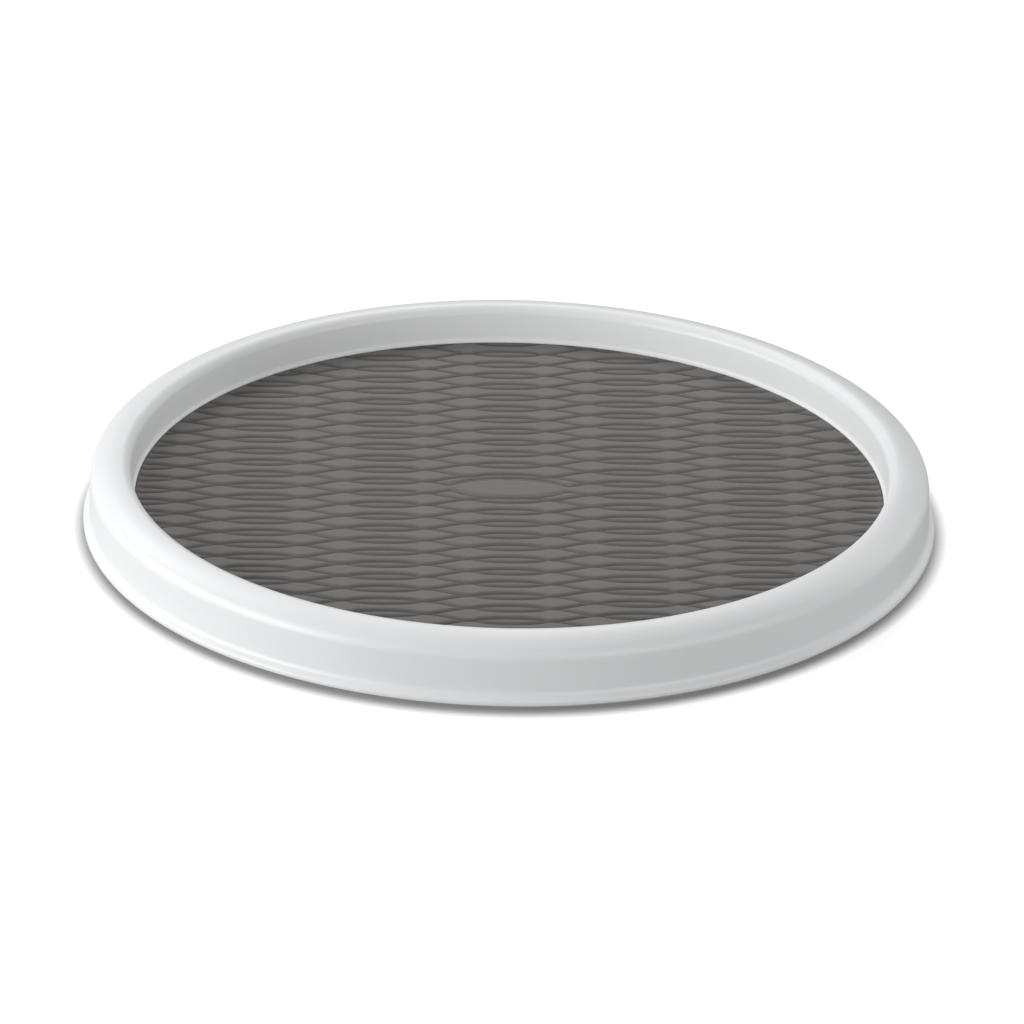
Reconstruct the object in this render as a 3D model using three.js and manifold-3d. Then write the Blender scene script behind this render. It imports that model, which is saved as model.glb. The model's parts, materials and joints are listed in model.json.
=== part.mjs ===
// A lazy susan: a moulded tray with a grippy mat that turns on a ball track over a low footed base.
// Millimetres, +Z up. The origin is on the axis of rotation, on the surface that the feet stand on.
import * as THREE from "three";
import { mergeVertices } from "three/addons/utils/BufferGeometryUtils.js";
import Module from "manifold-3d";

const wasm = await Module();
wasm.setup();

// ---------------------------------------------------------------- driving dimensions

const GAP = 0.3; // working clearance between pieces that touch
const RING_SEGMENTS = 48; // facets round the large turned pieces
const SMALL_SEGMENTS = 24; // facets round the hub pieces and the feet
const BALL_SEGMENTS = 12;
const POCKET_SEGMENTS = 16;
const ROOT = 1; // how far a rib runs into the walls at its ends, and a cutter past a face
const DRAFT = 1.5; // degrees that the wall and the side of the dish lean
const MERGE_DISTANCE = 1e-4;

// Tray: flange, wall and rim
const FLANGE_RADIUS = 152.5;
const SKIRT_BOTTOM = 2.2;
const WALL_RADIUS = 150.3;
const CREST_RADIUS = 139;
const CREST_HEIGHT = 25;
const CREST_INNER_ROUND = 3.6;
const CREST_OUTER_ROUND = 14.9;
const SHOULDER_ROUND = 5.5;
const SHOULDER_START = 54; // degrees round the crest's outer arc where the tighter shoulder begins
const RIM_SHELL = 2.2;
const FLARE_TOP = 7.2;
const FLARE_ROUND = 3;
const FLARE_TURN = 47; // degrees that the wall turns outwards into the flange
const INNER_FLARE_TURN = 20; // the same, on the inside of the skirt
const FLANGE_ROUND = 1.5;
const FLANGE_FACE_TOP = 3.2;
const LIP_ROUND = 0.4;

// Tray: dish, floor and hub
const WALL_FOOT_RADIUS = 135.15;
const WALL_FOOT_HEIGHT = 12.8;
const WALL_FOOT_ROUND = 1.6;
const MAT_RECESS_RADIUS = 134.1;
const FLOOR_TOP = 9.3;
const FLOOR_THICKNESS = 2;
const HUB_RADIUS = 14;
const HUB_BOTTOM = 5.8;
const TRAY_RIB_COUNT = 16;
const TRAY_RIB_WIDTH = 1.5;
const TRAY_RIB_BOTTOM = 5.9;
const INNER_RIB_RISE = 0.7; // from the hub end to the track end of an inner rib

// Mat
const MAT_THICKNESS = 1.6;
const MAT_EDGE_CHAMFER = 0.3;

// Ball track
const TRACK_RADIUS = 77;
const TRACK_HEIGHT = 4.95;
const TRACK_HALF_WIDTH = 5.5;
const BALL_COUNT = 18;
const BALL_RADIUS = 2.38;
const GROOVE_RADIUS = 2.6;
const UPPER_TRACK_FACE = 6.5;
const CAGE_THICKNESS = 1.7;
const CAGE_HALF_WIDTH = 4.4;
const CAGE_POCKET_RADIUS = 2.58;

// Base
const BASE_RADIUS = 105;
const BASE_BOTTOM = 1;
const BASE_WEB_BOTTOM = 2;
const BASE_TOP = 3.4;
const BASE_EDGE_TOP = 4.6;
const BASE_EDGE_WIDTH = 1.8;
const BASE_RIM_WIDTH = 3.5;
const BASE_HUB_RADIUS = 13;
const BASE_HUB_TOP = 4.4;
const BASE_RECESS_RADIUS = 10;
const BASE_RECESS_TOP = 2.6;
const BASE_RIB_COUNT = 12;
const BASE_RIB_WIDTH = 1.6;

// Feet
const FOOT_COUNT = 6;
const FOOT_RADIUS = 7;
const FOOT_HEIGHT = 1.7;
const FOOT_CHAMFER = 0.5;
const FOOT_CIRCLE_RADIUS = 92;
const FOOT_COLLAR_WIDTH = 1.7;

// Pivot
const SHANK_RADIUS = 3;
const RIVET_HEAD_RADIUS = 6;
const RIVET_HEAD_TOP = 9.1;
const RIVET_HEAD_BOTTOM = 8;
const RIVET_HEAD_BEVEL = 0.3;
const RIVET_TAIL_RADIUS = 4.6;
const RIVET_TAIL_BOTTOM = 0.9;
const RIVET_TAIL_TOP = 1.5;
const WEAR_WASHER = { inner: 3.4, outer: 12, bottom: 4.6, top: 5.6 };
const RETAINING_WASHER = { inner: 3.3, outer: 8.6, bottom: 1.8, top: 2.4 };

const FLOOR_BOTTOM = FLOOR_TOP - FLOOR_THICKNESS;
const MAT_BOTTOM = FLOOR_TOP + GAP;
const MAT_TOP = MAT_BOTTOM + MAT_THICKNESS;
const RAD = Math.PI / 180;

// ---------------------------------------------------------------- materials

const finish = (color, roughness, metalness) =>
  new THREE.MeshStandardMaterial({ color, roughness, metalness });
const whitePlastic = () => finish(0xeceeef, 0.42, 0);
const greyRubber = () => finish(0x6b6966, 0.75, 0);
const basePlastic = () => finish(0xe4e6e7, 0.5, 0);
const darkRubber = () => finish(0x3c3b3a, 0.8, 0);
const steel = () => finish(0xc3c6ca, 0.25, 1);
const acetal = () => finish(0xf3f1e8, 0.35, 0);

// ---------------------------------------------------------------- helpers

// Points (radius, height) on an arc about a centre, from one polar angle to another, in degrees.
function arc(centreRadius, centreHeight, radius, from, to, steps) {
  return Array.from({ length: steps + 1 }, (_, i) => {
    const angle = (from + ((to - from) * i) / steps) * RAD;
    return [centreRadius + radius * Math.cos(angle), centreHeight + radius * Math.sin(angle)];
  });
}

// A solid of revolution about +Z from a counter-clockwise outline of (radius, height) points.
// An outline that leaves the axis clear closes on itself, and the piece has a central hole.
function turned(outline, segments) {
  const closed = outline[0][0] > 0 ? [...outline, outline[0]] : outline;
  const points = closed.map(([r, z]) => new THREE.Vector2(r, z));
  return new THREE.LatheGeometry(points, segments).rotateX(Math.PI / 2);
}

// A ring of rectangular section.
function washer({ inner, outer, bottom, top }) {
  return turned([[inner, bottom], [outer, bottom], [outer, top], [inner, top]], SMALL_SEGMENTS);
}

// A flat plate whose outline lies in the plane of the axis and the direction at an angle.
function radialPlate(outline, width, angle) {
  const shape = new THREE.Shape(outline.map(([r, z]) => new THREE.Vector2(r, z)));
  return new THREE.ExtrudeGeometry(shape, { depth: width, bevelEnabled: false })
    .translate(0, 0, -width / 2)
    .rotateX(Math.PI / 2)
    .rotateZ(angle);
}

// An upright cylinder that stands on a height, at a polar position.
function post(radius, bottom, top, segments, distance, angle) {
  return new THREE.CylinderGeometry(radius, radius, top - bottom, segments)
    .rotateX(Math.PI / 2)
    .translate(distance, 0, (bottom + top) / 2)
    .rotateZ(angle);
}

function toSolid(geometry) {
  const bare = geometry.clone();
  bare.deleteAttribute("normal");
  bare.deleteAttribute("uv");
  const merged = mergeVertices(bare, MERGE_DISTANCE);
  return new wasm.Manifold(
    new wasm.Mesh({
      numProp: 3,
      vertProperties: new Float32Array(merged.attributes.position.array),
      triVerts: new Uint32Array(merged.index.array),
    }),
  );
}

function toGeometry(solid) {
  const mesh = solid.getMesh();
  const geometry = new THREE.BufferGeometry();
  geometry.setAttribute("position", new THREE.BufferAttribute(mesh.vertProperties, 3));
  geometry.setIndex(new THREE.BufferAttribute(mesh.triVerts, 1));
  geometry.computeVertexNormals();
  return geometry;
}

const join = (geometry, pieces) =>
  toGeometry(pieces.reduce((solid, piece) => solid.add(toSolid(piece)), toSolid(geometry)));
const cut = (geometry, pieces) =>
  toGeometry(pieces.reduce((solid, piece) => solid.subtract(toSolid(piece)), toSolid(geometry)));

// Equal angles round the axis, starting from a given share of one step.
const around = (count, startShare = 0) =>
  Array.from({ length: count }, (_, i) => ((i + startShare) * 2 * Math.PI) / count);

const numbered = (name, index, digits) => `${name}_${String(index + 1).padStart(digits, "0")}`;

function named(name, geometry, material) {
  const mesh = new THREE.Mesh(geometry, material);
  mesh.name = name;
  return mesh;
}

// Polar angle, from the groove's centre, at which the groove meets a flat face.
const grooveEdge = (face) => Math.asin((face - TRACK_HEIGHT) / GROOVE_RADIUS) / RAD;

// ---------------------------------------------------------------- tray

// The rounded rim at a depth below its outer skin, from the outer wall over the crest to the dish.
function rimCurve(depth, steps) {
  const innerCentre = CREST_HEIGHT - CREST_INNER_ROUND;
  const outerCentre = CREST_HEIGHT - CREST_OUTER_ROUND;
  const inset = CREST_OUTER_ROUND - SHOULDER_ROUND;
  const shoulderRadius = CREST_RADIUS + inset * Math.cos(SHOULDER_START * RAD);
  const shoulderHeight = outerCentre + inset * Math.sin(SHOULDER_START * RAD);
  return [
    ...arc(shoulderRadius, shoulderHeight, SHOULDER_ROUND - depth, DRAFT, SHOULDER_START, steps),
    ...arc(CREST_RADIUS, outerCentre, CREST_OUTER_ROUND - depth, SHOULDER_START, 90, 2).slice(1),
    ...arc(CREST_RADIUS, innerCentre, CREST_INNER_ROUND - depth, 90, 180 - DRAFT, steps).slice(1),
  ];
}

// The skirt's outside, from the lip's underside up the flange and the concave flare to the wall.
function skirtCurve() {
  const flare = arc(WALL_RADIUS + FLARE_ROUND, FLARE_TOP, FLARE_ROUND, 180 + FLARE_TURN, 180 + DRAFT, 2);
  const lip = arc(FLANGE_RADIUS - LIP_ROUND, SKIRT_BOTTOM + LIP_ROUND, LIP_ROUND, -90, 0, 1);
  const flange = arc(FLANGE_RADIUS - FLANGE_ROUND, FLANGE_FACE_TOP, FLANGE_ROUND, 0, FLARE_TURN, 1);
  return [...lip, ...flange, ...flare];
}

function trayOutline() {
  const edge = grooveEdge(UPPER_TRACK_FACE);
  const flareInside = arc(
    WALL_RADIUS + FLARE_ROUND,
    FLARE_TOP,
    FLARE_ROUND + RIM_SHELL,
    180,
    180 + INNER_FLARE_TURN,
    1,
  );
  const hub = [[SHANK_RADIUS + GAP, HUB_BOTTOM], [HUB_RADIUS, HUB_BOTTOM], [HUB_RADIUS, FLOOR_BOTTOM]];
  const track = [
    [TRACK_RADIUS - TRACK_HALF_WIDTH, FLOOR_BOTTOM],
    [TRACK_RADIUS - TRACK_HALF_WIDTH, UPPER_TRACK_FACE],
    ...arc(TRACK_RADIUS, TRACK_HEIGHT, GROOVE_RADIUS, 180 - edge, edge, 4),
    [TRACK_RADIUS + TRACK_HALF_WIDTH, UPPER_TRACK_FACE],
    [TRACK_RADIUS + TRACK_HALF_WIDTH, FLOOR_BOTTOM],
  ];
  const hollow = [
    [WALL_FOOT_RADIUS + RIM_SHELL, FLOOR_BOTTOM],
    ...rimCurve(RIM_SHELL, 2).reverse(),
    ...flareInside,
    [FLANGE_RADIUS - RIM_SHELL, FLANGE_FACE_TOP],
    [FLANGE_RADIUS - RIM_SHELL, SKIRT_BOTTOM],
  ];
  const footAngle = Math.acos(1 - (WALL_FOOT_RADIUS - MAT_RECESS_RADIUS) / WALL_FOOT_ROUND) / RAD;
  const dish = [
    ...arc(WALL_FOOT_RADIUS - WALL_FOOT_ROUND, WALL_FOOT_HEIGHT, WALL_FOOT_ROUND, 0, -footAngle, 2),
    [MAT_RECESS_RADIUS, FLOOR_TOP],
  ];
  const counterbore = [
    [RIVET_HEAD_RADIUS + GAP, FLOOR_TOP],
    [RIVET_HEAD_RADIUS + GAP, RIVET_HEAD_BOTTOM - GAP],
    [SHANK_RADIUS + GAP, RIVET_HEAD_BOTTOM - GAP],
  ];
  return [...hub, ...track, ...hollow, ...skirtCurve(), ...rimCurve(0, 5), ...dish, ...counterbore];
}

// One stiffening rib: along the underside of the floor, then up inside the hollow rim.
function trayRib(angle) {
  const start = TRACK_RADIUS + TRACK_HALF_WIDTH - ROOT;
  const rimStart = WALL_FOOT_RADIUS + RIM_SHELL / 2;
  const rimEnd = WALL_RADIUS - RIM_SHELL / 2;
  const crown = rimCurve(RIM_SHELL / 2, 2);
  return radialPlate(
    [
      [start, TRAY_RIB_BOTTOM],
      [rimEnd, TRAY_RIB_BOTTOM],
      ...crown,
      [rimStart, FLOOR_BOTTOM + RIM_SHELL / 2],
      [start, FLOOR_BOTTOM + RIM_SHELL / 2],
    ],
    TRAY_RIB_WIDTH,
    angle,
  );
}

// One of the shallow ribs between the hub and the track.
function trayInnerRib(angle) {
  const start = HUB_RADIUS - ROOT;
  const end = TRACK_RADIUS - TRACK_HALF_WIDTH + ROOT;
  const top = FLOOR_BOTTOM + FLOOR_THICKNESS / 2;
  const outline = [
    [start, TRAY_RIB_BOTTOM],
    [end, TRAY_RIB_BOTTOM + INNER_RIB_RISE],
    [end, top],
    [start, top],
  ];
  return radialPlate(outline, TRAY_RIB_WIDTH, angle);
}

function makeTray() {
  const ribs = around(TRAY_RIB_COUNT, 0.5).map(trayRib);
  const innerRibs = around(TRAY_RIB_COUNT / 2, 0.25).map(trayInnerRib);
  return named(
    "tray",
    join(turned(trayOutline(), RING_SEGMENTS), [...ribs, ...innerRibs]),
    whitePlastic(),
  );
}

function makeMat() {
  const radius = MAT_RECESS_RADIUS - GAP;
  const outline = [
    [0, MAT_BOTTOM],
    [radius, MAT_BOTTOM],
    [radius, MAT_TOP - MAT_EDGE_CHAMFER],
    [radius - MAT_EDGE_CHAMFER, MAT_TOP],
    [0, MAT_TOP],
  ];
  return named("grip_mat", turned(outline, RING_SEGMENTS), greyRubber());
}

// ---------------------------------------------------------------- ball bearing

function makeCage() {
  const bottom = TRACK_HEIGHT - CAGE_THICKNESS / 2;
  const top = TRACK_HEIGHT + CAGE_THICKNESS / 2;
  const inner = TRACK_RADIUS - CAGE_HALF_WIDTH;
  const outer = TRACK_RADIUS + CAGE_HALF_WIDTH;
  const ring = turned([[inner, bottom], [outer, bottom], [outer, top], [inner, top]], RING_SEGMENTS);
  const pockets = around(BALL_COUNT).map((angle) =>
    post(CAGE_POCKET_RADIUS, bottom - ROOT, top + ROOT, POCKET_SEGMENTS, TRACK_RADIUS, angle),
  );
  return named("ball_cage", cut(ring, pockets), acetal());
}

// A ball is turned so that its poles lie on the line through the tray's axis, which it rolls about.
function makeBall(angle, index) {
  const sphere = new THREE.SphereGeometry(BALL_RADIUS, BALL_SEGMENTS, BALL_SEGMENTS / 2);
  const geometry = sphere.rotateZ(-Math.PI / 2);
  const ball = named(numbered("ball", index, 2), geometry, steel());
  ball.position.set(
    TRACK_RADIUS * Math.cos(angle),
    TRACK_RADIUS * Math.sin(angle),
    TRACK_HEIGHT,
  );
  ball.rotation.z = angle;
  return ball;
}

// ---------------------------------------------------------------- base

function baseOutline() {
  const edge = grooveEdge(BASE_TOP);
  return [
    [SHANK_RADIUS + GAP, BASE_RECESS_TOP],
    [BASE_RECESS_RADIUS, BASE_RECESS_TOP],
    [BASE_RECESS_RADIUS, BASE_BOTTOM],
    [BASE_HUB_RADIUS, BASE_BOTTOM],
    [BASE_HUB_RADIUS, BASE_WEB_BOTTOM],
    [TRACK_RADIUS - TRACK_HALF_WIDTH, BASE_WEB_BOTTOM],
    [TRACK_RADIUS - TRACK_HALF_WIDTH, BASE_BOTTOM],
    [TRACK_RADIUS + TRACK_HALF_WIDTH, BASE_BOTTOM],
    [TRACK_RADIUS + TRACK_HALF_WIDTH, BASE_WEB_BOTTOM],
    [BASE_RADIUS - BASE_RIM_WIDTH, BASE_WEB_BOTTOM],
    [BASE_RADIUS - BASE_RIM_WIDTH, BASE_BOTTOM],
    [BASE_RADIUS, BASE_BOTTOM],
    [BASE_RADIUS, BASE_EDGE_TOP],
    [BASE_RADIUS - BASE_EDGE_WIDTH, BASE_EDGE_TOP],
    [BASE_RADIUS - BASE_EDGE_WIDTH, BASE_TOP],
    ...arc(TRACK_RADIUS, TRACK_HEIGHT, GROOVE_RADIUS, edge, -180 - edge, 4),
    [BASE_HUB_RADIUS, BASE_TOP],
    [BASE_HUB_RADIUS, BASE_HUB_TOP],
    [SHANK_RADIUS + GAP, BASE_HUB_TOP],
  ];
}

function baseRib(from, to, angle) {
  const top = (BASE_WEB_BOTTOM + BASE_TOP) / 2;
  const outline = [[from, BASE_BOTTOM], [to, BASE_BOTTOM], [to, top], [from, top]];
  return radialPlate(outline, BASE_RIB_WIDTH, angle);
}

function makeBase() {
  const hubToTrack = [BASE_HUB_RADIUS - ROOT, TRACK_RADIUS - TRACK_HALF_WIDTH + ROOT];
  const trackToEdge = [TRACK_RADIUS + TRACK_HALF_WIDTH - ROOT, BASE_RADIUS - BASE_RIM_WIDTH + ROOT];
  const ribs = around(BASE_RIB_COUNT, 0.5).flatMap((angle) => [
    baseRib(...hubToTrack, angle),
    baseRib(...trackToEdge, angle),
  ]);
  const pocketRadius = FOOT_RADIUS + GAP;
  const collarRadius = pocketRadius + FOOT_COLLAR_WIDTH;
  const collarTop = (BASE_WEB_BOTTOM + BASE_TOP) / 2;
  const collars = around(FOOT_COUNT).map((angle) =>
    post(collarRadius, BASE_BOTTOM, collarTop, SMALL_SEGMENTS, FOOT_CIRCLE_RADIUS, angle),
  );
  const pockets = around(FOOT_COUNT).map((angle) =>
    post(pocketRadius, BASE_BOTTOM - ROOT, BASE_WEB_BOTTOM, SMALL_SEGMENTS, FOOT_CIRCLE_RADIUS, angle),
  );
  const plate = join(turned(baseOutline(), RING_SEGMENTS), [...ribs, ...collars]);
  return named("base_plate", cut(plate, pockets), basePlastic());
}

function makeFoot(angle, index) {
  const outline = [
    [0, 0],
    [FOOT_RADIUS - FOOT_CHAMFER, 0],
    [FOOT_RADIUS, FOOT_CHAMFER],
    [FOOT_RADIUS, FOOT_HEIGHT],
    [0, FOOT_HEIGHT],
  ];
  const foot = named(numbered("foot", index, 1), turned(outline, SMALL_SEGMENTS), darkRubber());
  foot.position.set(FOOT_CIRCLE_RADIUS * Math.cos(angle), FOOT_CIRCLE_RADIUS * Math.sin(angle), 0);
  return foot;
}

// ---------------------------------------------------------------- pivot

// The shoulder rivet: a low head sunk in the tray, a plain shank and a clenched tail under the base.
function makeRivet() {
  const outline = [
    [0, RIVET_TAIL_BOTTOM],
    [RIVET_TAIL_RADIUS, RIVET_TAIL_BOTTOM],
    [RIVET_TAIL_RADIUS, RIVET_TAIL_TOP],
    [SHANK_RADIUS, RIVET_TAIL_TOP],
    [SHANK_RADIUS, RIVET_HEAD_BOTTOM],
    [RIVET_HEAD_RADIUS, RIVET_HEAD_BOTTOM],
    [RIVET_HEAD_RADIUS, RIVET_HEAD_TOP - RIVET_HEAD_BEVEL],
    [RIVET_HEAD_RADIUS - RIVET_HEAD_BEVEL, RIVET_HEAD_TOP],
    [0, RIVET_HEAD_TOP],
  ];
  return named("pivot_rivet", turned(outline, SMALL_SEGMENTS), steel());
}

// ---------------------------------------------------------------- assembly

const turningTray = new THREE.Group();
turningTray.add(makeTray(), makeMat(), makeRivet());

const bearing = new THREE.Group();
bearing.add(makeCage(), ...around(BALL_COUNT).map(makeBall));

const base = new THREE.Group();
base.add(
  makeBase(),
  ...around(FOOT_COUNT).map(makeFoot),
  named("wear_washer", washer(WEAR_WASHER), acetal()),
  named("retaining_washer", washer(RETAINING_WASHER), steel()),
);

const turntable = new THREE.Group();
turntable.add(turningTray, bearing, base);

export default turntable;
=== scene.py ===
"""A lazy susan turntable: white moulded tray, grey reed-pattern mat, and a footed base with a ball race."""
import json
from math import acos, asin, cos, degrees, hypot, pi, radians, sin, tan

import bmesh
import bpy
import numpy as np
from mathutils import Matrix, Vector


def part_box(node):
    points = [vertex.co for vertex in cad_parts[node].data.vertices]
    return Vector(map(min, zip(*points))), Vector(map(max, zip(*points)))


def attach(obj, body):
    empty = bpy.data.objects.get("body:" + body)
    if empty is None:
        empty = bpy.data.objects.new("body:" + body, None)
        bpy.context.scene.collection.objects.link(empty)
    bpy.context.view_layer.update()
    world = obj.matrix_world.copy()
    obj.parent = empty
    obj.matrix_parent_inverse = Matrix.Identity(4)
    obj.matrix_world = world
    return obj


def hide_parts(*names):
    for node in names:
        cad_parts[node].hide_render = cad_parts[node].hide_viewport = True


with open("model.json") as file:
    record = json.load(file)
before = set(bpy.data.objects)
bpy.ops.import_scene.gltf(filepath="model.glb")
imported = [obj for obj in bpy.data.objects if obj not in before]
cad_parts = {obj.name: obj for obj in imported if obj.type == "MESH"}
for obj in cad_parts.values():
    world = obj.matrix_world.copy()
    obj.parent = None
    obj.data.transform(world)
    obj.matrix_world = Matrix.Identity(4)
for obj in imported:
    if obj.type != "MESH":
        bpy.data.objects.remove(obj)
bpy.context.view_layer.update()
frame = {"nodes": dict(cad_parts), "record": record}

MM = 0.001

# ---------------------------------------------------------------- sizes, from the frame

tray_low, tray_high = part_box("tray")
mat_low, mat_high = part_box("grip_mat")
base_low, base_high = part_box("base_plate")
cage_low, cage_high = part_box("ball_cage")
ball_low, ball_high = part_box("ball_01")
foot_low, foot_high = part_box("foot_1")
rivet_low, rivet_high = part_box("pivot_rivet")
wear_low, wear_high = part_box("wear_washer")
retainer_low, retainer_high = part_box("retaining_washer")

SEGMENTS = 288  # facets round the large turned pieces
SMALL_SEGMENTS = 96
COLLAR_SEGMENTS = 64
FOOT_SEGMENTS = 72
CAGE_SEGMENTS = 216
POCKET_SEGMENTS = 36
ON_AXIS = 1e-7
NEARLY_STRAIGHT = radians(172)  # a corner flatter than this isn't rounded
MOST_OF_A_SIDE = 0.45  # share of a side that the rounding of one corner may use

FLANGE_RADIUS = tray_high.x
SKIRT_BOTTOM = tray_low.z
CREST_HEIGHT = tray_high.z
WALL_RADIUS = FLANGE_RADIUS - 2.2 * MM
CREST_RADIUS = FLANGE_RADIUS - 13.5 * MM
CREST_INNER_ROUND = 3.6 * MM
CREST_OUTER_ROUND = 14.9 * MM
SHOULDER_ROUND = 5.5 * MM
SHOULDER_START = 54  # degrees round the crest's outer arc where the tighter shoulder begins
DRAFT = 1.5  # degrees that the wall and the side of the dish lean
RIM_SHELL = 2.2 * MM
FLARE_TOP = SKIRT_BOTTOM + 5 * MM
FLARE_ROUND = 3 * MM
FLARE_TURN = 47  # degrees that the wall turns outwards into the flange
INNER_FLARE_TURN = 20  # the same, on the inside of the skirt
FLANGE_ROUND = 1.5 * MM
FLANGE_FACE_TOP = SKIRT_BOTTOM + 1 * MM
LIP_ROUND = 0.45 * MM

MAT_RADIUS = mat_high.x
MAT_TOP = mat_high.z
MAT_BOTTOM = mat_low.z
RECESS_RADIUS = MAT_RADIUS + 0.3 * MM
WALL_FOOT_RADIUS = RECESS_RADIUS + 1.05 * MM
WALL_FOOT_HEIGHT = MAT_TOP + 1.6 * MM
WALL_FOOT_ROUND = 1.6 * MM
FLOOR_TOP = MAT_BOTTOM - 0.3 * MM
FLOOR_BOTTOM = FLOOR_TOP - 2 * MM
HUB_RADIUS = 14 * MM
HUB_BOTTOM = 5.8 * MM
TRAY_RIB_COUNT = 16
TRAY_RIB_WIDTH = 1.5 * MM
TRAY_RIB_BOTTOM = 5.9 * MM
INNER_RIB_RISE = 0.7 * MM  # from the hub end to the track end of an inner rib
ROOT = 1 * MM  # how far a rib runs into the walls at its ends
COUNTERBORE_SEAT = 7.7 * MM  # the ledge under the rivet's head
MID_FLOOR = (60 * MM, 100 * MM)  # radii on either side of the track where the plain floor starts

BALL_COUNT = sum(name.startswith("ball_0") or name.startswith("ball_1") for name in frame["nodes"])
BALL_RADIUS = (ball_high.z - ball_low.z) / 2
TRACK_RADIUS = (ball_low.x + ball_high.x) / 2
TRACK_HEIGHT = (ball_low.z + ball_high.z) / 2
TRACK_HALF_WIDTH = 5.5 * MM
GROOVE_RADIUS = BALL_RADIUS + 0.22 * MM
UPPER_TRACK_FACE = 6.5 * MM
POCKET_GAP = 0.2 * MM

BASE_RADIUS = base_high.x
BASE_BOTTOM = base_low.z
BASE_WEB_BOTTOM = BASE_BOTTOM + 1 * MM
BASE_TOP = BASE_BOTTOM + 2.4 * MM
BASE_EDGE_TOP = base_high.z
BASE_EDGE_WIDTH = 1.8 * MM
BASE_RIM_WIDTH = 3.5 * MM
BASE_HUB_RADIUS = 13 * MM
BASE_HUB_TOP = BASE_TOP + 1 * MM
BASE_RECESS_RADIUS = 10 * MM
BASE_RECESS_TOP = BASE_BOTTOM + 1.6 * MM
BASE_RIB_COUNT = 12
BASE_RIB_WIDTH = 1.6 * MM
BASE_RIB_INSET = 0.05 * MM  # how far a rib's edge stands back from the base's underside

FOOT_COUNT = sum(name.startswith("foot_") for name in frame["nodes"])
FOOT_RADIUS = (foot_high.x - foot_low.x) / 2
FOOT_CIRCLE = (foot_high.x + foot_low.x) / 2
FOOT_TOP = foot_high.z
FOOT_COLLAR_WIDTH = 1.7 * MM
FOOT_GAP = 0.3 * MM
FOOT_CHAMFER = 0.6 * MM
DIMPLE_RADIUS = 1.2 * MM
GRIP_COUNT = 3
GRIP_START = 1.6 * MM
GRIP_PITCH = 1.7 * MM
GRIP_DEPTH = 0.25 * MM

SHANK_RADIUS = 3 * MM
SHANK_GAP = 0.3 * MM
RIVET_TAIL_RADIUS = 4.6 * MM
RIVET_TAIL_THICKNESS = 0.6 * MM
RIVET_HEAD_THICKNESS = 1.1 * MM
WEAR_BORE = 3.4 * MM
RETAINER_BORE = 3.3 * MM

# Reed relief of the mat
REED_PITCH = 44.36 * MM  # from one column of reeds to the next
ROW_PITCH = 9.894 * MM  # from one reed to the next in a column
REED_SHOULDER = 13.2 * MM  # how far along a reed its taper starts
LENS_HALF_LENGTH = 12.5 * MM  # the sunken lens between two reeds
LENS_HALF_HEIGHT = 2.35 * MM
LENS_FULLNESS = 0.5  # 1 gives a lens of two parabolas, less gives blunter tips
LENS_SLOPE = 1.2 * MM
LENS_DEPTH = 0.18 * MM
LENS_PAINTED_SHADE = 0.12  # painted shade: how much of its colour the rubber loses in a sunken lens, and in a groove
GROOVE_WIDTH = 0.98 * MM
GROOVE_DEPTH = 1.0 * MM
# painted shade down in a groove, standing in for the shade that falls there
GROOVE_PAINTED_SHADE = 0.6
RELIEF_TURN = radians(0.894)
RELIEF_RISE = 5.46 * MM
PLAQUE_HALF_LENGTH = 21.3 * MM
PLAQUE_HALF_HEIGHT = 8.7 * MM
PLAQUE_RISE = 0.3 * MM
PLAQUE_BORDER = 1.9 * MM
PLAQUE_DEPTH = 0.12 * MM
INNER_BORDER_SHARE = 0.6  # how deep the inner border is against the outer one
MAT_OVERHANG = 0.12 * MM
MAT_EDGE_ROUND = 0.25 * MM
MAT_LAST_ROW = 0.9996  # share of the radius at which the grid's first and last rows stand
MAT_BORDER = 1.6 * MM  # width over which the relief dies away at the mat's edge
MAT_ROWS = 560
MAT_COLUMNS = 156

# Studio
TABLE_SIZE = 8
TABLE_TONE = 0.32  # what the table sends back up
TABLE_TOP_TONE = 0.5  # what the camera sees, with the glow on top
TABLE_GLOW = 0.72
PAINTED_SHADOW_REACH = 5.5 * MM  # how far from the turntable the glow starts to fade, painting a contact shadow on the table
# how steeply the painted contact shadow darkens towards the turntable
PAINTED_SHADOW_SHARPNESS = 4
SOFTBOX_DISTANCE = 1.4
SOFTBOX_SIZE = 0.75
WORLD_STRENGTH = 0.221
CAMERA_ELEVATION = radians(25.17)
CAMERA_DISTANCE = 2.75
CAMERA_ROLL = radians(1.078)
CAMERA_LENS = 269.5
CAMERA_SHIFT = (0.0029, 0.0044)


# ---------------------------------------------------------------- outlines and meshes


def arc(centre_r, centre_z, radius, start, end, steps):
    """Points (radius, height) on an arc about a centre, between two polar angles in degrees."""
    angles = [radians(start + (end - start) * i / steps) for i in range(steps + 1)]
    return [(centre_r + radius * cos(a), centre_z + radius * sin(a)) for a in angles]


def eased(points, radius, steps=4, closed=True):
    """An outline with its corners rounded off, by at most the given radius."""
    made = []
    count = len(points)
    for i, corner in enumerate(points):
        if not closed and i in (0, count - 1):
            made.append(corner)
            continue
        here = Vector(corner)
        back = Vector(points[i - 1]) - here
        ahead = Vector(points[(i + 1) % count]) - here
        turn = back.angle(ahead)
        if turn > NEARLY_STRAIGHT:
            made.append(corner)
            continue
        reach = min(radius / tan(turn / 2), back.length * MOST_OF_A_SIDE, ahead.length * MOST_OF_A_SIDE)
        start = here + back.normalized() * reach
        end = here + ahead.normalized() * reach
        for k in range(steps + 1):
            t = k / steps
            point = start * (1 - t) ** 2 + here * 2 * t * (1 - t) + end * t * t
            made.append((point.x, point.y))
    return made


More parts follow.
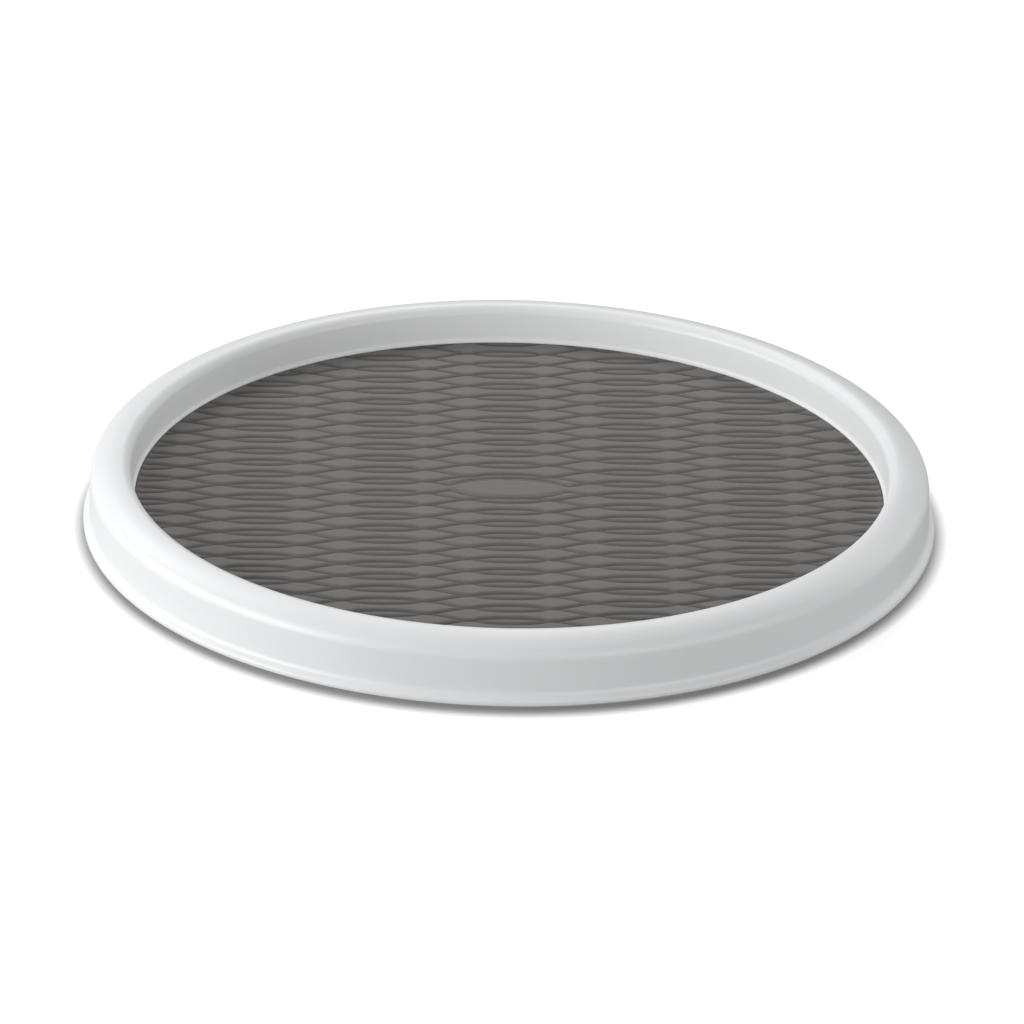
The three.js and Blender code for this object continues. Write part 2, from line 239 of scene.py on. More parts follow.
def mesh_object(name, vertices, faces, sharp=40):
    mesh = bpy.data.meshes.new(name)
    mesh.from_pydata([tuple(v) for v in vertices], [], [tuple(f) for f in faces])
    mesh.update()
    mesh.polygons.foreach_set("use_smooth", [True] * len(mesh.polygons))
    mesh.set_sharp_from_angle(angle=radians(sharp))
    piece = bpy.data.objects.new(name, mesh)
    bpy.context.scene.collection.objects.link(piece)
    return piece


def turned_parts(outline, segments, centre=(0, 0)):
    """Vertices and faces of a solid of revolution, from a counter-clockwise outline of (radius, height)."""
    vertices, faces, rings = [], [], []
    for r, z in outline:
        if r < ON_AXIS:
            rings.append([len(vertices)] * segments)
            vertices.append((centre[0], centre[1], z))
            continue
        rings.append(list(range(len(vertices), len(vertices) + segments)))
        for k in range(segments):
            a = 2 * pi * k / segments
            vertices.append((centre[0] + r * cos(a), centre[1] + r * sin(a), z))
    on_axis = outline[0][0] < ON_AXIS
    pairs = list(zip(rings, rings[1:] if on_axis else rings[1:] + rings[:1]))
    for low, high in pairs:
        for k in range(segments):
            m = (k + 1) % segments
            face = list(dict.fromkeys((low[k], low[m], high[m], high[k])))
            if len(face) > 2:
                faces.append(face)
    return vertices, faces


def joined(parts):
    """One list of vertices and faces from several."""
    vertices, faces = [], []
    for more_vertices, more_faces in parts:
        start = len(vertices)
        vertices.extend(more_vertices)
        faces.extend([start + i for i in face] for face in more_faces)
    return vertices, faces


def turned(name, outline, segments=SEGMENTS, sharp=40):
    return mesh_object(name, *turned_parts(outline, segments), sharp=sharp)


def radial_plate(outline, width, angle, bevel=0.15 * MM):
    """A flat rib standing in the plane of the axis and an angle, its outline counter-clockwise."""
    across = [(-width / 2, bevel), (-width / 2 + bevel, 0), (width / 2 - bevel, 0), (width / 2, bevel)]
    middle_r = sum(r for r, _ in outline) / len(outline)
    middle_z = sum(z for _, z in outline) / len(outline)
    vertices = []
    for side, inset in across:
        for r, z in outline:
            reach = hypot(middle_r - r, middle_z - z)
            r, z = r + (middle_r - r) * inset / reach, z + (middle_z - z) * inset / reach
            vertices.append((r * cos(angle) - side * sin(angle), r * sin(angle) + side * cos(angle), z))
    n = len(outline)
    faces = [[i for i in range(n)], [3 * n + i for i in reversed(range(n))]]
    for layer in range(3):
        for i in range(n):
            j = (i + 1) % n
            faces.append([layer * n + i, (layer + 1) * n + i, (layer + 1) * n + j, layer * n + j])
    return vertices, faces


def around(count, start_share=0.0):
    return [(i + start_share) * 2 * pi / count for i in range(count)]


def groove_edge(face):
    return degrees(asin((face - TRACK_HEIGHT) / GROOVE_RADIUS))


# ---------------------------------------------------------------- materials


def new_material(name, colour, roughness, metallic=0.0):
    material = bpy.data.materials.new(name)
    material.use_nodes = True
    shader = material.node_tree.nodes["Principled BSDF"]
    shader.inputs["Base Color"].default_value = (*colour, 1)
    shader.inputs["Roughness"].default_value = roughness
    shader.inputs["Metallic"].default_value = metallic
    return material, material.node_tree, shader


def noise(tree, scale, detail=3.0, roughness=0.5, stretch=None):
    coordinates = tree.nodes.new("ShaderNodeTexCoord")
    texture = tree.nodes.new("ShaderNodeTexNoise")
    texture.inputs["Scale"].default_value = scale
    texture.inputs["Detail"].default_value = detail
    texture.inputs["Roughness"].default_value = roughness
    if stretch:
        mapping = tree.nodes.new("ShaderNodeMapping")
        mapping.inputs["Scale"].default_value = stretch
        tree.links.new(coordinates.outputs["Object"], mapping.inputs["Vector"])
        tree.links.new(mapping.outputs["Vector"], texture.inputs["Vector"])
    else:
        tree.links.new(coordinates.outputs["Object"], texture.inputs["Vector"])
    return texture.outputs["Fac"]


def spread(tree, value, low, high):
    """Maps a 0 to 1 value to a range."""
    node = tree.nodes.new("ShaderNodeMapRange")
    node.inputs["To Min"].default_value = low
    node.inputs["To Max"].default_value = high
    tree.links.new(value, node.inputs["Value"])
    return node.outputs["Result"]


def two_tone(tree, factor, dark, light):
    node = tree.nodes.new("ShaderNodeMix")
    node.data_type = "RGBA"
    node.inputs["A"].default_value = (*dark, 1)
    node.inputs["B"].default_value = (*light, 1)
    tree.links.new(factor, node.inputs["Factor"])
    return node.outputs["Result"]


def bump(tree, height, distance, strength=1.0, below=None):
    node = tree.nodes.new("ShaderNodeBump")
    node.inputs["Distance"].default_value = distance
    node.inputs["Strength"].default_value = strength
    tree.links.new(height, node.inputs["Height"])
    if below:
        tree.links.new(below, node.inputs["Normal"])
    return node.outputs["Normal"]


def moulded_plastic(name, dark, light, roughness, grain=900):
    """Satin injection-moulded plastic: faint cloudiness, flow unevenness and a fine spark-eroded grain."""
    material, tree, shader = new_material(name, light, roughness)
    cloud = noise(tree, 22, 2)
    tree.links.new(two_tone(tree, cloud, dark, light), shader.inputs["Base Color"])
    tree.links.new(
        spread(tree, noise(tree, 60, 3), roughness - 0.05, roughness + 0.06), shader.inputs["Roughness"]
    )
    wave = bump(tree, noise(tree, 45, 2), 0.05 * MM, 0.5)
    tree.links.new(bump(tree, noise(tree, grain, 2), 0.012 * MM, 0.6, wave), shader.inputs["Normal"])
    return material


def mat_rubber():
    """Grey thermoplastic rubber: dull, finely pebbled, with painted shade down in the grooves and in the
    sunken lenses.
    """
    material, tree, shader = new_material("mat_rubber", (0.2, 0.19, 0.18), 0.7)
    painted_shade = tree.nodes.new("ShaderNodeAttribute")
    painted_shade.attribute_name = "painted_shade"
    streaks = noise(tree, 130, 4, 0.6, (0.35, 1, 1))
    reed = two_tone(tree, streaks, (0.165, 0.160, 0.153), (0.197, 0.191, 0.183))
    # painted shade: the rubber's colour is mixed towards the dark colour below in the grooves and lenses, by
    # the attribute that the relief writes
    painted_shade_mix = tree.nodes.new("ShaderNodeMix")
    painted_shade_mix.data_type = "RGBA"
    painted_shade_mix.inputs["A"].default_value = (0.045, 0.043, 0.041, 1)
    tree.links.new(painted_shade.outputs["Fac"], painted_shade_mix.inputs["Factor"])
    tree.links.new(reed, painted_shade_mix.inputs["B"])
    tree.links.new(painted_shade_mix.outputs["Result"], shader.inputs["Base Color"])
    tree.links.new(spread(tree, noise(tree, 300, 2), 0.6, 0.78), shader.inputs["Roughness"])
    shader.inputs["Specular IOR Level"].default_value = 0.35
    pebble = bump(tree, noise(tree, 1400, 3, 0.6), 0.05 * MM, 0.32)
    tree.links.new(bump(tree, noise(tree, 220, 2), 0.06 * MM, 0.35, pebble), shader.inputs["Normal"])
    return material


def foot_rubber():
    material, tree, shader = new_material("foot_rubber", (0.03, 0.03, 0.03), 0.75)
    tree.links.new(
        two_tone(tree, noise(tree, 160, 3), (0.022, 0.022, 0.022), (0.045, 0.044, 0.043)),
        shader.inputs["Base Color"],
    )
    tree.links.new(spread(tree, noise(tree, 400, 2), 0.62, 0.85), shader.inputs["Roughness"])
    tree.links.new(bump(tree, noise(tree, 1500, 3), 0.04 * MM, 0.6), shader.inputs["Normal"])
    return material


def steel(name, roughness):
    """Plated or hardened steel with fine turning marks and a few duller patches."""
    material, tree, shader = new_material(name, (0.62, 0.63, 0.65), roughness, 1.0)
    tree.links.new(
        two_tone(tree, noise(tree, 250, 3), (0.52, 0.53, 0.55), (0.68, 0.69, 0.71)),
        shader.inputs["Base Color"],
    )
    tree.links.new(
        spread(tree, noise(tree, 500, 4, 0.6), roughness * 0.6, roughness * 1.6), shader.inputs["Roughness"]
    )
    tree.links.new(bump(tree, noise(tree, 2500, 2), 0.004 * MM, 0.5), shader.inputs["Normal"])
    return material


white = moulded_plastic("tray_plastic", (0.800, 0.808, 0.815), (0.835, 0.842, 0.850), 0.40)
off_white = moulded_plastic("base_plastic", (0.70, 0.71, 0.715), (0.76, 0.765, 0.77), 0.5, 700)
acetal = moulded_plastic("bearing_plastic", (0.72, 0.70, 0.63), (0.80, 0.78, 0.71), 0.35)
rubber = mat_rubber()
dark_rubber = foot_rubber()
ball_steel = steel("ball_steel", 0.12)
plated_steel = steel("plated_steel", 0.28)


def finished(piece, body, slot, material, *nodes):
    piece.data.materials.append(material)
    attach(piece, body)
    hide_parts(*nodes)
    return piece


# ---------------------------------------------------------------- tray


def rim_curve(depth, steps):
    """The rounded rim at a depth below its skin, from the outer wall over the crest to the dish."""
    outer_centre = CREST_HEIGHT - CREST_OUTER_ROUND
    inset = CREST_OUTER_ROUND - SHOULDER_ROUND
    shoulder_r = CREST_RADIUS + inset * cos(radians(SHOULDER_START))
    shoulder_z = outer_centre + inset * sin(radians(SHOULDER_START))
    shoulder = arc(shoulder_r, shoulder_z, SHOULDER_ROUND - depth, DRAFT, SHOULDER_START, steps)
    crown = arc(CREST_RADIUS, outer_centre, CREST_OUTER_ROUND - depth, SHOULDER_START, 90, steps // 2)
    inner_centre = CREST_HEIGHT - CREST_INNER_ROUND
    inner = arc(CREST_RADIUS, inner_centre, CREST_INNER_ROUND - depth, 90, 180 - DRAFT, steps)
    return shoulder + crown[1:] + inner[1:]


def skirt_curve():
    """The skirt's outside, from the lip's underside up the flange and the concave flare to the wall."""
    flare = arc(WALL_RADIUS + FLARE_ROUND, FLARE_TOP, FLARE_ROUND, 180 + FLARE_TURN, 180 + DRAFT, 10)
    edge = arc(FLANGE_RADIUS - LIP_ROUND, SKIRT_BOTTOM + LIP_ROUND, LIP_ROUND, -90, 0, 6)
    flange = arc(FLANGE_RADIUS - FLANGE_ROUND, FLANGE_FACE_TOP, FLANGE_ROUND, 0, FLARE_TURN, 6)
    return edge + flange + flare


def tray_outline():
    edge = groove_edge(UPPER_TRACK_FACE)
    hub = eased(
        [(SHANK_RADIUS + SHANK_GAP, HUB_BOTTOM), (HUB_RADIUS, HUB_BOTTOM), (HUB_RADIUS, FLOOR_BOTTOM)],
        0.6 * MM,
        closed=False,
    )
    inner, outer = TRACK_RADIUS - TRACK_HALF_WIDTH, TRACK_RADIUS + TRACK_HALF_WIDTH
    inside = [(MID_FLOOR[0], FLOOR_BOTTOM), (inner, FLOOR_BOTTOM), (inner, UPPER_TRACK_FACE)]
    outside = [(outer, UPPER_TRACK_FACE), (outer, FLOOR_BOTTOM), (MID_FLOOR[1], FLOOR_BOTTOM)]
    track = eased(inside, 0.4 * MM, closed=False)
    track += arc(TRACK_RADIUS, TRACK_HEIGHT, GROOVE_RADIUS, 180 - edge, edge, 14)
    track += eased(outside, 0.4 * MM, closed=False)
    hollow = [(WALL_FOOT_RADIUS + RIM_SHELL, FLOOR_BOTTOM)] + rim_curve(RIM_SHELL, 10)[::-1]
    inner_flare = FLARE_ROUND + RIM_SHELL
    flare_inside = arc(WALL_RADIUS + FLARE_ROUND, FLARE_TOP, inner_flare, 180, 180 + INNER_FLARE_TURN, 5)
    lip_inside = [(FLANGE_RADIUS - RIM_SHELL, FLANGE_FACE_TOP), (FLANGE_RADIUS - RIM_SHELL, SKIRT_BOTTOM)]
    foot_angle = degrees(acos(1 - (WALL_FOOT_RADIUS - RECESS_RADIUS) / WALL_FOOT_ROUND))
    foot = arc(WALL_FOOT_RADIUS - WALL_FOOT_ROUND, WALL_FOOT_HEIGHT, WALL_FOOT_ROUND, 0, -foot_angle, 8)
    head = rivet_high.x + SHANK_GAP
    counterbore = eased(
        [
            (MID_FLOOR[1], FLOOR_TOP),
            (head, FLOOR_TOP),
            (head, COUNTERBORE_SEAT),
            (SHANK_RADIUS + SHANK_GAP, COUNTERBORE_SEAT),
        ],
        0.25 * MM,
        closed=False,
    )
    recess = [(RECESS_RADIUS, FLOOR_TOP)]
    return (
        hub + track + hollow + flare_inside + lip_inside
        + skirt_curve() + rim_curve(0, 24) + foot + recess + counterbore
    )


def tray_rib(angle):
    """A stiffening rib along the underside of the floor, then up inside the hollow rim."""
    start = TRACK_RADIUS + TRACK_HALF_WIDTH - ROOT
    deep = FLOOR_BOTTOM + RIM_SHELL / 2
    outline = [(start, TRAY_RIB_BOTTOM), (WALL_RADIUS - RIM_SHELL / 2, TRAY_RIB_BOTTOM)]
    outline += rim_curve(RIM_SHELL / 2, 6)
    outline += [(WALL_FOOT_RADIUS + RIM_SHELL / 2, deep), (start, deep)]
    return radial_plate(outline, TRAY_RIB_WIDTH, angle)


def tray_inner_rib(angle):
    start = HUB_RADIUS - ROOT
    end = TRACK_RADIUS - TRACK_HALF_WIDTH + ROOT
    deep = FLOOR_BOTTOM + ROOT
    outline = [(start, TRAY_RIB_BOTTOM), (end, TRAY_RIB_BOTTOM + INNER_RIB_RISE), (end, deep), (start, deep)]
    return radial_plate(outline, TRAY_RIB_WIDTH, angle)


def make_tray():
    finished(turned("tray_moulding", tray_outline()), "tray", "tray_plastic", white, "tray")
    ribs = [tray_rib(a) for a in around(TRAY_RIB_COUNT, 0.5)]
    ribs += [tray_inner_rib(a) for a in around(TRAY_RIB_COUNT // 2, 0.25)]
    finished(mesh_object("tray_ribs", *joined(ribs), sharp=30), "tray", "tray_plastic", white)


# ---------------------------------------------------------------- mat


def smooth_step(t):
    t = np.clip(t, 0.0, 1.0)
    return t * t * (3 - 2 * t)


def lens_edge(x, half_length, half_height):
    """Half the height of a lens at a distance from its middle, nought beyond its tips."""
    return half_height * np.clip(1 - (x / half_length) ** 2, 0, 1) ** LENS_FULLNESS


def groove(distance, width):
    """How deep a soft groove is, from 1 on its centre line down to 0."""
    return np.exp(-((distance / width) ** 2))


def reed_pattern(x, y):
    """Depth below the mat's top, and painted shade, of the interlocking reeds and the lenses between them.
    """
    half_row = ROW_PITCH / 2
    column = np.round(x / REED_PITCH)
    along = np.abs(x - column * REED_PITCH)
    row = (y - (column % 2) * half_row) / ROW_PITCH - 0.5
    across = np.abs(row - np.round(row)) * ROW_PITCH
    taper = smooth_step((along - REED_SHOULDER) / (REED_PITCH - 2 * REED_SHOULDER))
    waist = half_row - lens_edge(along, LENS_HALF_LENGTH, LENS_HALF_HEIGHT)
    edge = np.where(along < REED_SHOULDER, waist, half_row * (1 - taper))
    near = groove(across - edge, GROOVE_WIDTH)
    far = groove(ROW_PITCH - across - edge, GROOVE_WIDTH) * (along < REED_SHOULDER)
    cut = 1 - (1 - near) * (1 - far)
    lens = smooth_step((across - edge) / LENS_SLOPE + 0.5) * (along < LENS_HALF_LENGTH)
    depth = GROOVE_DEPTH * cut + LENS_DEPTH * lens * (1 - cut)
    # painted shade: darker down in the grooves and in the sunken lenses
    painted_shade = (1 - GROOVE_PAINTED_SHADE * cut) * (1 - LENS_PAINTED_SHADE * lens)
    return depth, painted_shade


def relief(x, y):
    """The reed pattern with the blank plaque let into its middle."""
    depth, painted_shade = reed_pattern(x, y)
    off = np.abs(y - PLAQUE_RISE) - lens_edge(x, PLAQUE_HALF_LENGTH, PLAQUE_HALF_HEIGHT)
    off = np.where(np.abs(x) < PLAQUE_HALF_LENGTH, off, np.abs(y - PLAQUE_RISE) + ROW_PITCH)
    plaque = smooth_step(0.5 - off / GROOVE_WIDTH)
    outer_line = groove(off, GROOVE_WIDTH)
    inner_line = groove(off + PLAQUE_BORDER, GROOVE_WIDTH / 2)
    border = np.maximum(outer_line, INNER_BORDER_SHARE * inner_line)
    depth = depth * (1 - plaque) + PLAQUE_DEPTH * plaque
    # the plaque is left without painted shade
    painted_shade = painted_shade * (1 - plaque) + plaque
    depth = np.maximum(depth, GROOVE_DEPTH * border)
    # painted shade down in the plaque's border grooves
    painted_shade = np.minimum(painted_shade, 1 - GROOVE_PAINTED_SHADE * border)
    return depth, painted_shade


def make_mat():
    """The mat: a disc whose top is a fine grid pressed into the relief, in rows across it."""
    radius = MAT_RADIUS + MAT_OVERHANG - MAT_EDGE_ROUND
    y = np.linspace(-1, 1, MAT_ROWS) * radius * MAT_LAST_ROW
    reach = np.sqrt(radius**2 - y**2)
    share = np.linspace(-1, 1, MAT_COLUMNS)
    x = reach[:, None] * share[None, :]
    y = np.repeat(y[:, None], MAT_COLUMNS, axis=1)
    depth, painted_shade = relief(x, y - RELIEF_RISE)
    depth = depth * smooth_step((radius - np.hypot(x, y)) / MAT_BORDER)
    top = np.stack([x, y, MAT_TOP - depth], axis=-1).reshape(-1, 3)
    index = np.arange(MAT_ROWS * MAT_COLUMNS).reshape(MAT_ROWS, MAT_COLUMNS)
    corners = [index[:-1, :-1], index[:-1, 1:], index[1:, 1:], index[1:, :-1]]
    faces = np.stack(corners, axis=-1).reshape(-1, 4)
    rim = np.concatenate([index[0, :-1], index[:-1, -1], index[-1, :0:-1], index[:0:-1, 0]])
    outward = top[rim, :2] / np.linalg.norm(top[rim, :2], axis=1, keepdims=True)
    rings = [top]
    for out, down in ((0.7, 0.3), (1.0, 1.0)):
        wall = top[rim].copy()
        wall[:, :2] += outward * MAT_EDGE_ROUND * out
        wall[:, 2] -= MAT_EDGE_ROUND * down
        rings.append(wall)
    rings.append(np.column_stack([rings[-1][:, :2], np.full(len(rim), MAT_BOTTOM)]))
    vertices = np.concatenate(rings)
    loops = [rim] + [len(top) + k * len(rim) + np.arange(len(rim)) for k in range(3)]
    sides = [
        np.stack([lower, np.roll(lower, -1), np.roll(upper, -1), upper], axis=-1)
        for upper, lower in zip(loops, loops[1:])
    ]
    all_faces = np.concatenate([faces] + sides).tolist() + [loops[-1][::-1].tolist()]
    piece = mesh_object("reed_mat", vertices, all_faces, sharp=65)
    # painted shade of the grooves and lenses, stored on the points for the rubber's colour; the mat's edge
    # takes that of its outer row
    layer = piece.data.attributes.new("painted_shade", "FLOAT", "POINT")
    painted_shade_values = np.concatenate([painted_shade.ravel(), np.tile(painted_shade.ravel()[rim], 3)])
    layer.data.foreach_set("value", painted_shade_values)
    piece.data.transform(Matrix.Rotation(RELIEF_TURN, 4, "Z"))
    finished(piece, "tray", "mat_rubber", rubber, "grip_mat")


# ---------------------------------------------------------------- base


def base_outline():
    edge = groove_edge(BASE_TOP)
    inner, outer = TRACK_RADIUS - TRACK_HALF_WIDTH, TRACK_RADIUS + TRACK_HALF_WIDTH
    under = [
        (SHANK_RADIUS + SHANK_GAP, BASE_RECESS_TOP),
        (BASE_RECESS_RADIUS, BASE_RECESS_TOP),
        (BASE_RECESS_RADIUS, BASE_BOTTOM),
        (BASE_HUB_RADIUS, BASE_BOTTOM),
        (BASE_HUB_RADIUS, BASE_WEB_BOTTOM),
        (inner, BASE_WEB_BOTTOM),
        (inner, BASE_BOTTOM),
        (outer, BASE_BOTTOM),
        (outer, BASE_WEB_BOTTOM),
        (BASE_RADIUS - BASE_RIM_WIDTH, BASE_WEB_BOTTOM),
        (BASE_RADIUS - BASE_RIM_WIDTH, BASE_BOTTOM),
        (BASE_RADIUS, BASE_BOTTOM),
        (BASE_RADIUS, BASE_EDGE_TOP),
        (BASE_RADIUS - BASE_EDGE_WIDTH, BASE_EDGE_TOP),
        (BASE_RADIUS - BASE_EDGE_WIDTH, BASE_TOP),
        (TRACK_RADIUS + GROOVE_RADIUS, BASE_TOP),
    ]
    track = arc(TRACK_RADIUS, TRACK_HEIGHT, GROOVE_RADIUS, edge, -180 - edge, 14)
    hub = [
        (TRACK_RADIUS - GROOVE_RADIUS, BASE_TOP),
        (BASE_HUB_RADIUS, BASE_TOP),
        (BASE_HUB_RADIUS, BASE_HUB_TOP),
        (SHANK_RADIUS + SHANK_GAP, BASE_HUB_TOP),
    ]
    return eased(under, 0.3 * MM, closed=False) + track + eased(hub, 0.3 * MM, closed=False)


def base_rib(start, end, angle):
    top = (BASE_WEB_BOTTOM + BASE_TOP) / 2
    bottom = BASE_BOTTOM + BASE_RIB_INSET
    outline = [(start, bottom), (end, bottom), (end, top), (start, top)]
    return radial_plate(outline, BASE_RIB_WIDTH, angle)


def foot_collar(angle):
    """The raised ring in the base's underside that a foot is pressed into."""
    inner = FOOT_RADIUS + FOOT_GAP
    outer = inner + FOOT_COLLAR_WIDTH
    top = (BASE_WEB_BOTTOM + BASE_TOP) / 2
    outline = eased([(inner, BASE_BOTTOM), (outer, BASE_BOTTOM), (outer, top), (inner, top)], 0.2 * MM)
    return turned_parts(outline, COLLAR_SEGMENTS, (FOOT_CIRCLE * cos(angle), FOOT_CIRCLE * sin(angle)))


def make_base():
    finished(turned("base_moulding", base_outline()), "base", "base_plastic", off_white, "base_plate")
    details = []
    track_inner = TRACK_RADIUS - TRACK_HALF_WIDTH
    track_outer = TRACK_RADIUS + TRACK_HALF_WIDTH
    for angle in around(BASE_RIB_COUNT, 0.5):
        details.append(base_rib(BASE_HUB_RADIUS - ROOT, track_inner + ROOT, angle))
        details.append(base_rib(track_outer - ROOT, BASE_RADIUS - BASE_RIM_WIDTH + ROOT, angle))
    details += [foot_collar(a) for a in around(FOOT_COUNT)]
    finished(mesh_object("base_ribs", *joined(details), sharp=30), "base", "base_plastic", off_white)


def make_feet():
    """Rubber feet with three grip rings round a dimple on the underside."""
    profile = [(0, GRIP_DEPTH), (DIMPLE_RADIUS, GRIP_DEPTH)]
    for grip in range(GRIP_COUNT):
        start = GRIP_START + GRIP_PITCH * grip
        profile += [(start, 0), (start + 1 * MM, 0)]
        profile += [(start + 1.25 * MM, GRIP_DEPTH), (start + 1.45 * MM, GRIP_DEPTH)]
    profile = profile[:-2]
    profile += [(FOOT_RADIUS - FOOT_CHAMFER, 0), (FOOT_RADIUS, FOOT_CHAMFER)]
    profile += [(FOOT_RADIUS, FOOT_TOP), (0, FOOT_TOP)]
    outline = eased(profile, 0.2 * MM, 3, closed=False)
    for index, angle in enumerate(around(FOOT_COUNT)):
        centre = (FOOT_CIRCLE * cos(angle), FOOT_CIRCLE * sin(angle))
        piece = mesh_object(f"rubber_foot_{index + 1}", *turned_parts(outline, FOOT_SEGMENTS, centre))
        finished(piece, "base", "foot_rubber", dark_rubber, f"foot_{index + 1}")


# ---------------------------------------------------------------- ball race and pivot


def body_of_node(node):
    """The CAD body that holds a node."""
    bodies = frame["record"]["behaviour"]["bodies"]
    return next(body for body, nodes in bodies.items() if node in nodes)


def make_balls():
    for index, angle in enumerate(around(BALL_COUNT)):
        name = f"ball_{index + 1:02d}"
        bm = bmesh.new()
        bmesh.ops.create_icosphere(bm, subdivisions=4, radius=BALL_RADIUS)
        mesh = bpy.data.meshes.new("steel_" + name)
        bm.to_mesh(mesh)
        bm.free()
        centre = Vector((TRACK_RADIUS * cos(angle), TRACK_RADIUS * sin(angle), TRACK_HEIGHT))
        mesh.transform(Matrix.Translation(centre))
        mesh.polygons.foreach_set("use_smooth", [True] * len(mesh.polygons))
        piece = bpy.data.objects.new("steel_" + name, mesh)
        bpy.context.scene.collection.objects.link(piece)
        finished(piece, body_of_node(name), "bright_steel", ball_steel, name)


def make_cage():
    """The cage: a flat ring with a round pocket for each ball, its edges eased."""
    outer = cage_high.x
    inner = outer - 2 * (outer - TRACK_RADIUS)
    pocket = BALL_RADIUS + POCKET_GAP
    bm = bmesh.new()

    def loop(radius, centre, count):
        made = [
            bm.verts.new((centre[0] + radius * cos(a), centre[1] + radius * sin(a), cage_low.z))
            for a in around(count)
        ]
        for k in range(count):
            bm.edges.new((made[k], made[(k + 1) % count]))

    loop(inner, (0, 0), CAGE_SEGMENTS)
    loop(outer, (0, 0), CAGE_SEGMENTS)
    for angle in around(BALL_COUNT):
        loop(pocket, (TRACK_RADIUS * cos(angle), TRACK_RADIUS * sin(angle)), POCKET_SEGMENTS)
    bmesh.ops.triangle_fill(bm, use_beauty=True, use_dissolve=False, edges=bm.edges[:], normal=(0, 0, -1))
    flat = bm.faces[:]
    grown = bmesh.ops.extrude_face_region(bm, geom=flat)
    top = [v for v in grown["geom"] if isinstance(v, bmesh.types.BMVert)]
    bmesh.ops.translate(bm, verts=top, vec=(0, 0, cage_high.z - cage_low.z))
    bmesh.ops.recalc_face_normals(bm, faces=bm.faces[:])
    mesh = bpy.data.meshes.new("cage_ring")
    bm.to_mesh(mesh)
    bm.free()
    mesh.polygons.foreach_set("use_smooth", [True] * len(mesh.polygons))
    mesh.set_sharp_from_angle(angle=radians(40))
    piece = bpy.data.objects.new("cage_ring", mesh)
    bpy.context.scene.collection.objects.link(piece)
    edge = piece.modifiers.new("eased_edges", "BEVEL")
    edge.width = 0.2 * MM
    edge.segments = 3
    edge.limit_method = "ANGLE"
    edge.angle_limit = radians(50)
    finished(piece, "cage", "bearing_plastic", acetal, "ball_cage")


def ring(name, low, high, bore, slot, material, node):
    """A washer on the base, of the size of its node."""
    outline = [(bore, low.z), (high.x, low.z), (high.x, high.z), (bore, high.z)]
    finished(turned(name, eased(outline, 0.15 * MM), SMALL_SEGMENTS), "base", slot, material, node)


def make_pivot():
    tail_top = rivet_low.z + RIVET_TAIL_THICKNESS
    head_bottom = rivet_high.z - RIVET_HEAD_THICKNESS
    outline = [
        (0, rivet_low.z + 0.35 * MM),
        (1.6 * MM, rivet_low.z),
        (RIVET_TAIL_RADIUS, rivet_low.z),
        (RIVET_TAIL_RADIUS, tail_top),
        (SHANK_RADIUS, tail_top),
        (SHANK_RADIUS, head_bottom),
        (rivet_high.x, head_bottom),
        (rivet_high.x, rivet_high.z - 0.3 * MM),
        (rivet_high.x - 1.2 * MM, rivet_high.z),
        (0, rivet_high.z),
    ]
    shaped = eased(outline, 0.25 * MM, closed=False)
    rivet = turned("shoulder_rivet", shaped, SMALL_SEGMENTS)
    finished(rivet, "tray", "bright_steel", plated_steel, "pivot_rivet")
    ring("slip_washer", wear_low, wear_high, WEAR_BORE, "bearing_plastic", acetal, "wear_washer")
    retainer = (retainer_low, retainer_high, RETAINER_BORE)
    ring("steel_washer", *retainer, "bright_steel", plated_steel, "retaining_washer")


# ---------------------------------------------------------------- stage, light and camera


def make_stage():
    """A plain table, white to the camera and mid grey to the light that it sends back up; the glow that
    makes it white fades near the turntable, painting a contact shadow.
    """
    bpy.ops.mesh.primitive_plane_add(size=TABLE_SIZE, location=(0, 0, 0))
    floor = bpy.context.object
    floor.name = "table"
    material, tree, shader = new_material("table", (TABLE_TONE,) * 3, 0.9)
    shader.inputs["Specular IOR Level"].default_value = 0.0
    white_top = tree.nodes.new("ShaderNodeBsdfPrincipled")
    white_top.inputs["Base Color"].default_value = (*(TABLE_TOP_TONE,) * 3, 1)
    white_top.inputs["Roughness"].default_value = 0.9
    white_top.inputs["Specular IOR Level"].default_value = 0.0
    white_top.inputs["Emission Color"].default_value = (1, 1, 1, 1)
    # the glow fades where the turntable hides the sky: a painted contact shadow on the table
    painted_shadow_ao = tree.nodes.new("ShaderNodeAmbientOcclusion")
    painted_shadow_ao.samples = 16
    painted_shadow_ao.inputs["Distance"].default_value = PAINTED_SHADOW_REACH
    painted_shadow_falloff = tree.nodes.new("ShaderNodeMath")
    painted_shadow_falloff.operation = "POWER"
    painted_shadow_falloff.inputs[1].default_value = PAINTED_SHADOW_SHARPNESS
    glow = tree.nodes.new("ShaderNodeMath")
    glow.operation = "MULTIPLY"
    glow.inputs[1].default_value = TABLE_GLOW
    seen = tree.nodes.new("ShaderNodeLightPath")
    blend = tree.nodes.new("ShaderNodeMixShader")
    tree.links.new(painted_shadow_ao.outputs["AO"], painted_shadow_falloff.inputs[0])
    tree.links.new(painted_shadow_falloff.outputs["Value"], glow.inputs[0])
    tree.links.new(glow.outputs["Value"], white_top.inputs["Emission Strength"])
    tree.links.new(seen.outputs["Is Camera Ray"], blend.inputs["Fac"])
    tree.links.new(shader.outputs["BSDF"], blend.inputs[1])
    tree.links.new(white_top.outputs["BSDF"], blend.inputs[2])
    tree.links.new(blend.outputs["Shader"], tree.nodes["Material Output"].inputs["Surface"])
    floor.data.materials.append(material)


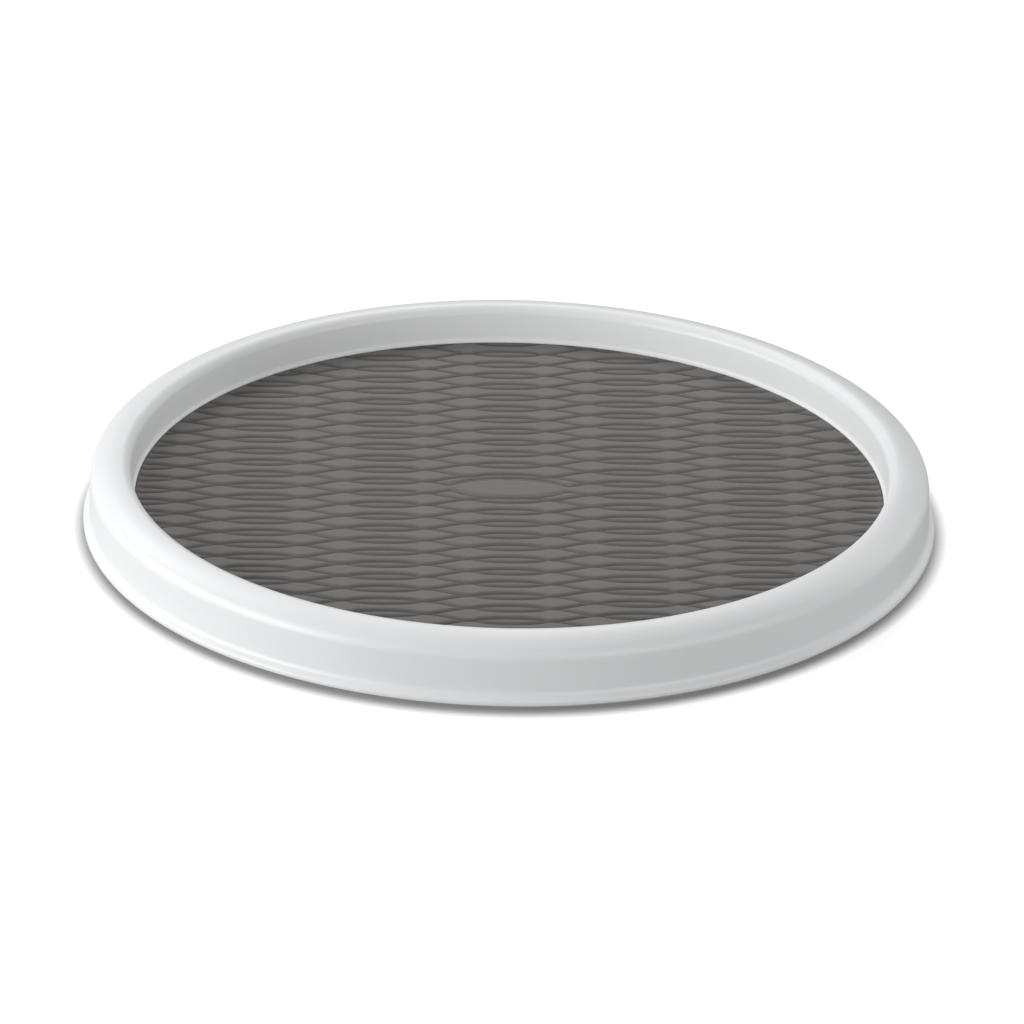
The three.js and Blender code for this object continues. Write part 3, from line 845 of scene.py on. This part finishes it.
def softbox(name, azimuth, elevation, power):
    """A large round light at an azimuth and elevation in degrees, turned to face the turntable."""
    a, e = radians(azimuth), radians(elevation)
    place = Vector((cos(a) * cos(e), sin(a) * cos(e), sin(e))) * SOFTBOX_DISTANCE
    data = bpy.data.lights.new(name, "AREA")
    data.shape = "DISK"
    data.size = SOFTBOX_SIZE
    data.energy = power
    light = bpy.data.objects.new(name, data)
    light.location = place
    light.rotation_euler = place.to_track_quat("Z", "Y").to_euler()
    bpy.context.scene.collection.objects.link(light)


def make_light():
    world = bpy.data.worlds.new("studio")
    bpy.context.scene.world = world
    world.use_nodes = True
    background = world.node_tree.nodes["Background"]
    background.inputs["Color"].default_value = (1, 1, 1, 1)
    background.inputs["Strength"].default_value = WORLD_STRENGTH
    softbox("left_front", 210, 15, 10.5)
    softbox("left", 180, 15, 5.9)
    softbox("right_front", 330, 15, 3.2)
    softbox("back_high", 90, 42, 3.9)
    softbox("back_left_high", 135, 42, 4.6)
    softbox("back_right_high", 45, 42, 2.2)
    softbox("back_right", 30, 15, 2.0)
    softbox("front_right", 300, 15, 3.5)


def make_camera():
    """The photograph's viewpoint: 25 degrees up, a long lens, and a slight roll."""
    target = Vector((0, 0, SKIRT_BOTTOM))
    place = target + Vector((0, -cos(CAMERA_ELEVATION), sin(CAMERA_ELEVATION))) * CAMERA_DISTANCE
    data = bpy.data.cameras.new("camera")
    data.sensor_width = 36
    data.lens = CAMERA_LENS
    data.shift_x, data.shift_y = CAMERA_SHIFT
    camera = bpy.data.objects.new("camera", data)
    aim = (place - target).to_track_quat("Z", "Y").to_matrix().to_4x4()
    camera.matrix_world = Matrix.Translation(place) @ aim @ Matrix.Rotation(CAMERA_ROLL, 4, "Z")
    bpy.context.scene.collection.objects.link(camera)
    bpy.context.scene.camera = camera


make_camera()
make_light()
make_stage()
make_tray()
make_mat()
make_base()
make_feet()
make_balls()
make_cage()
make_pivot()
bpy.context.scene.view_settings.view_transform = "Standard"

bpy.context.view_layer.update()
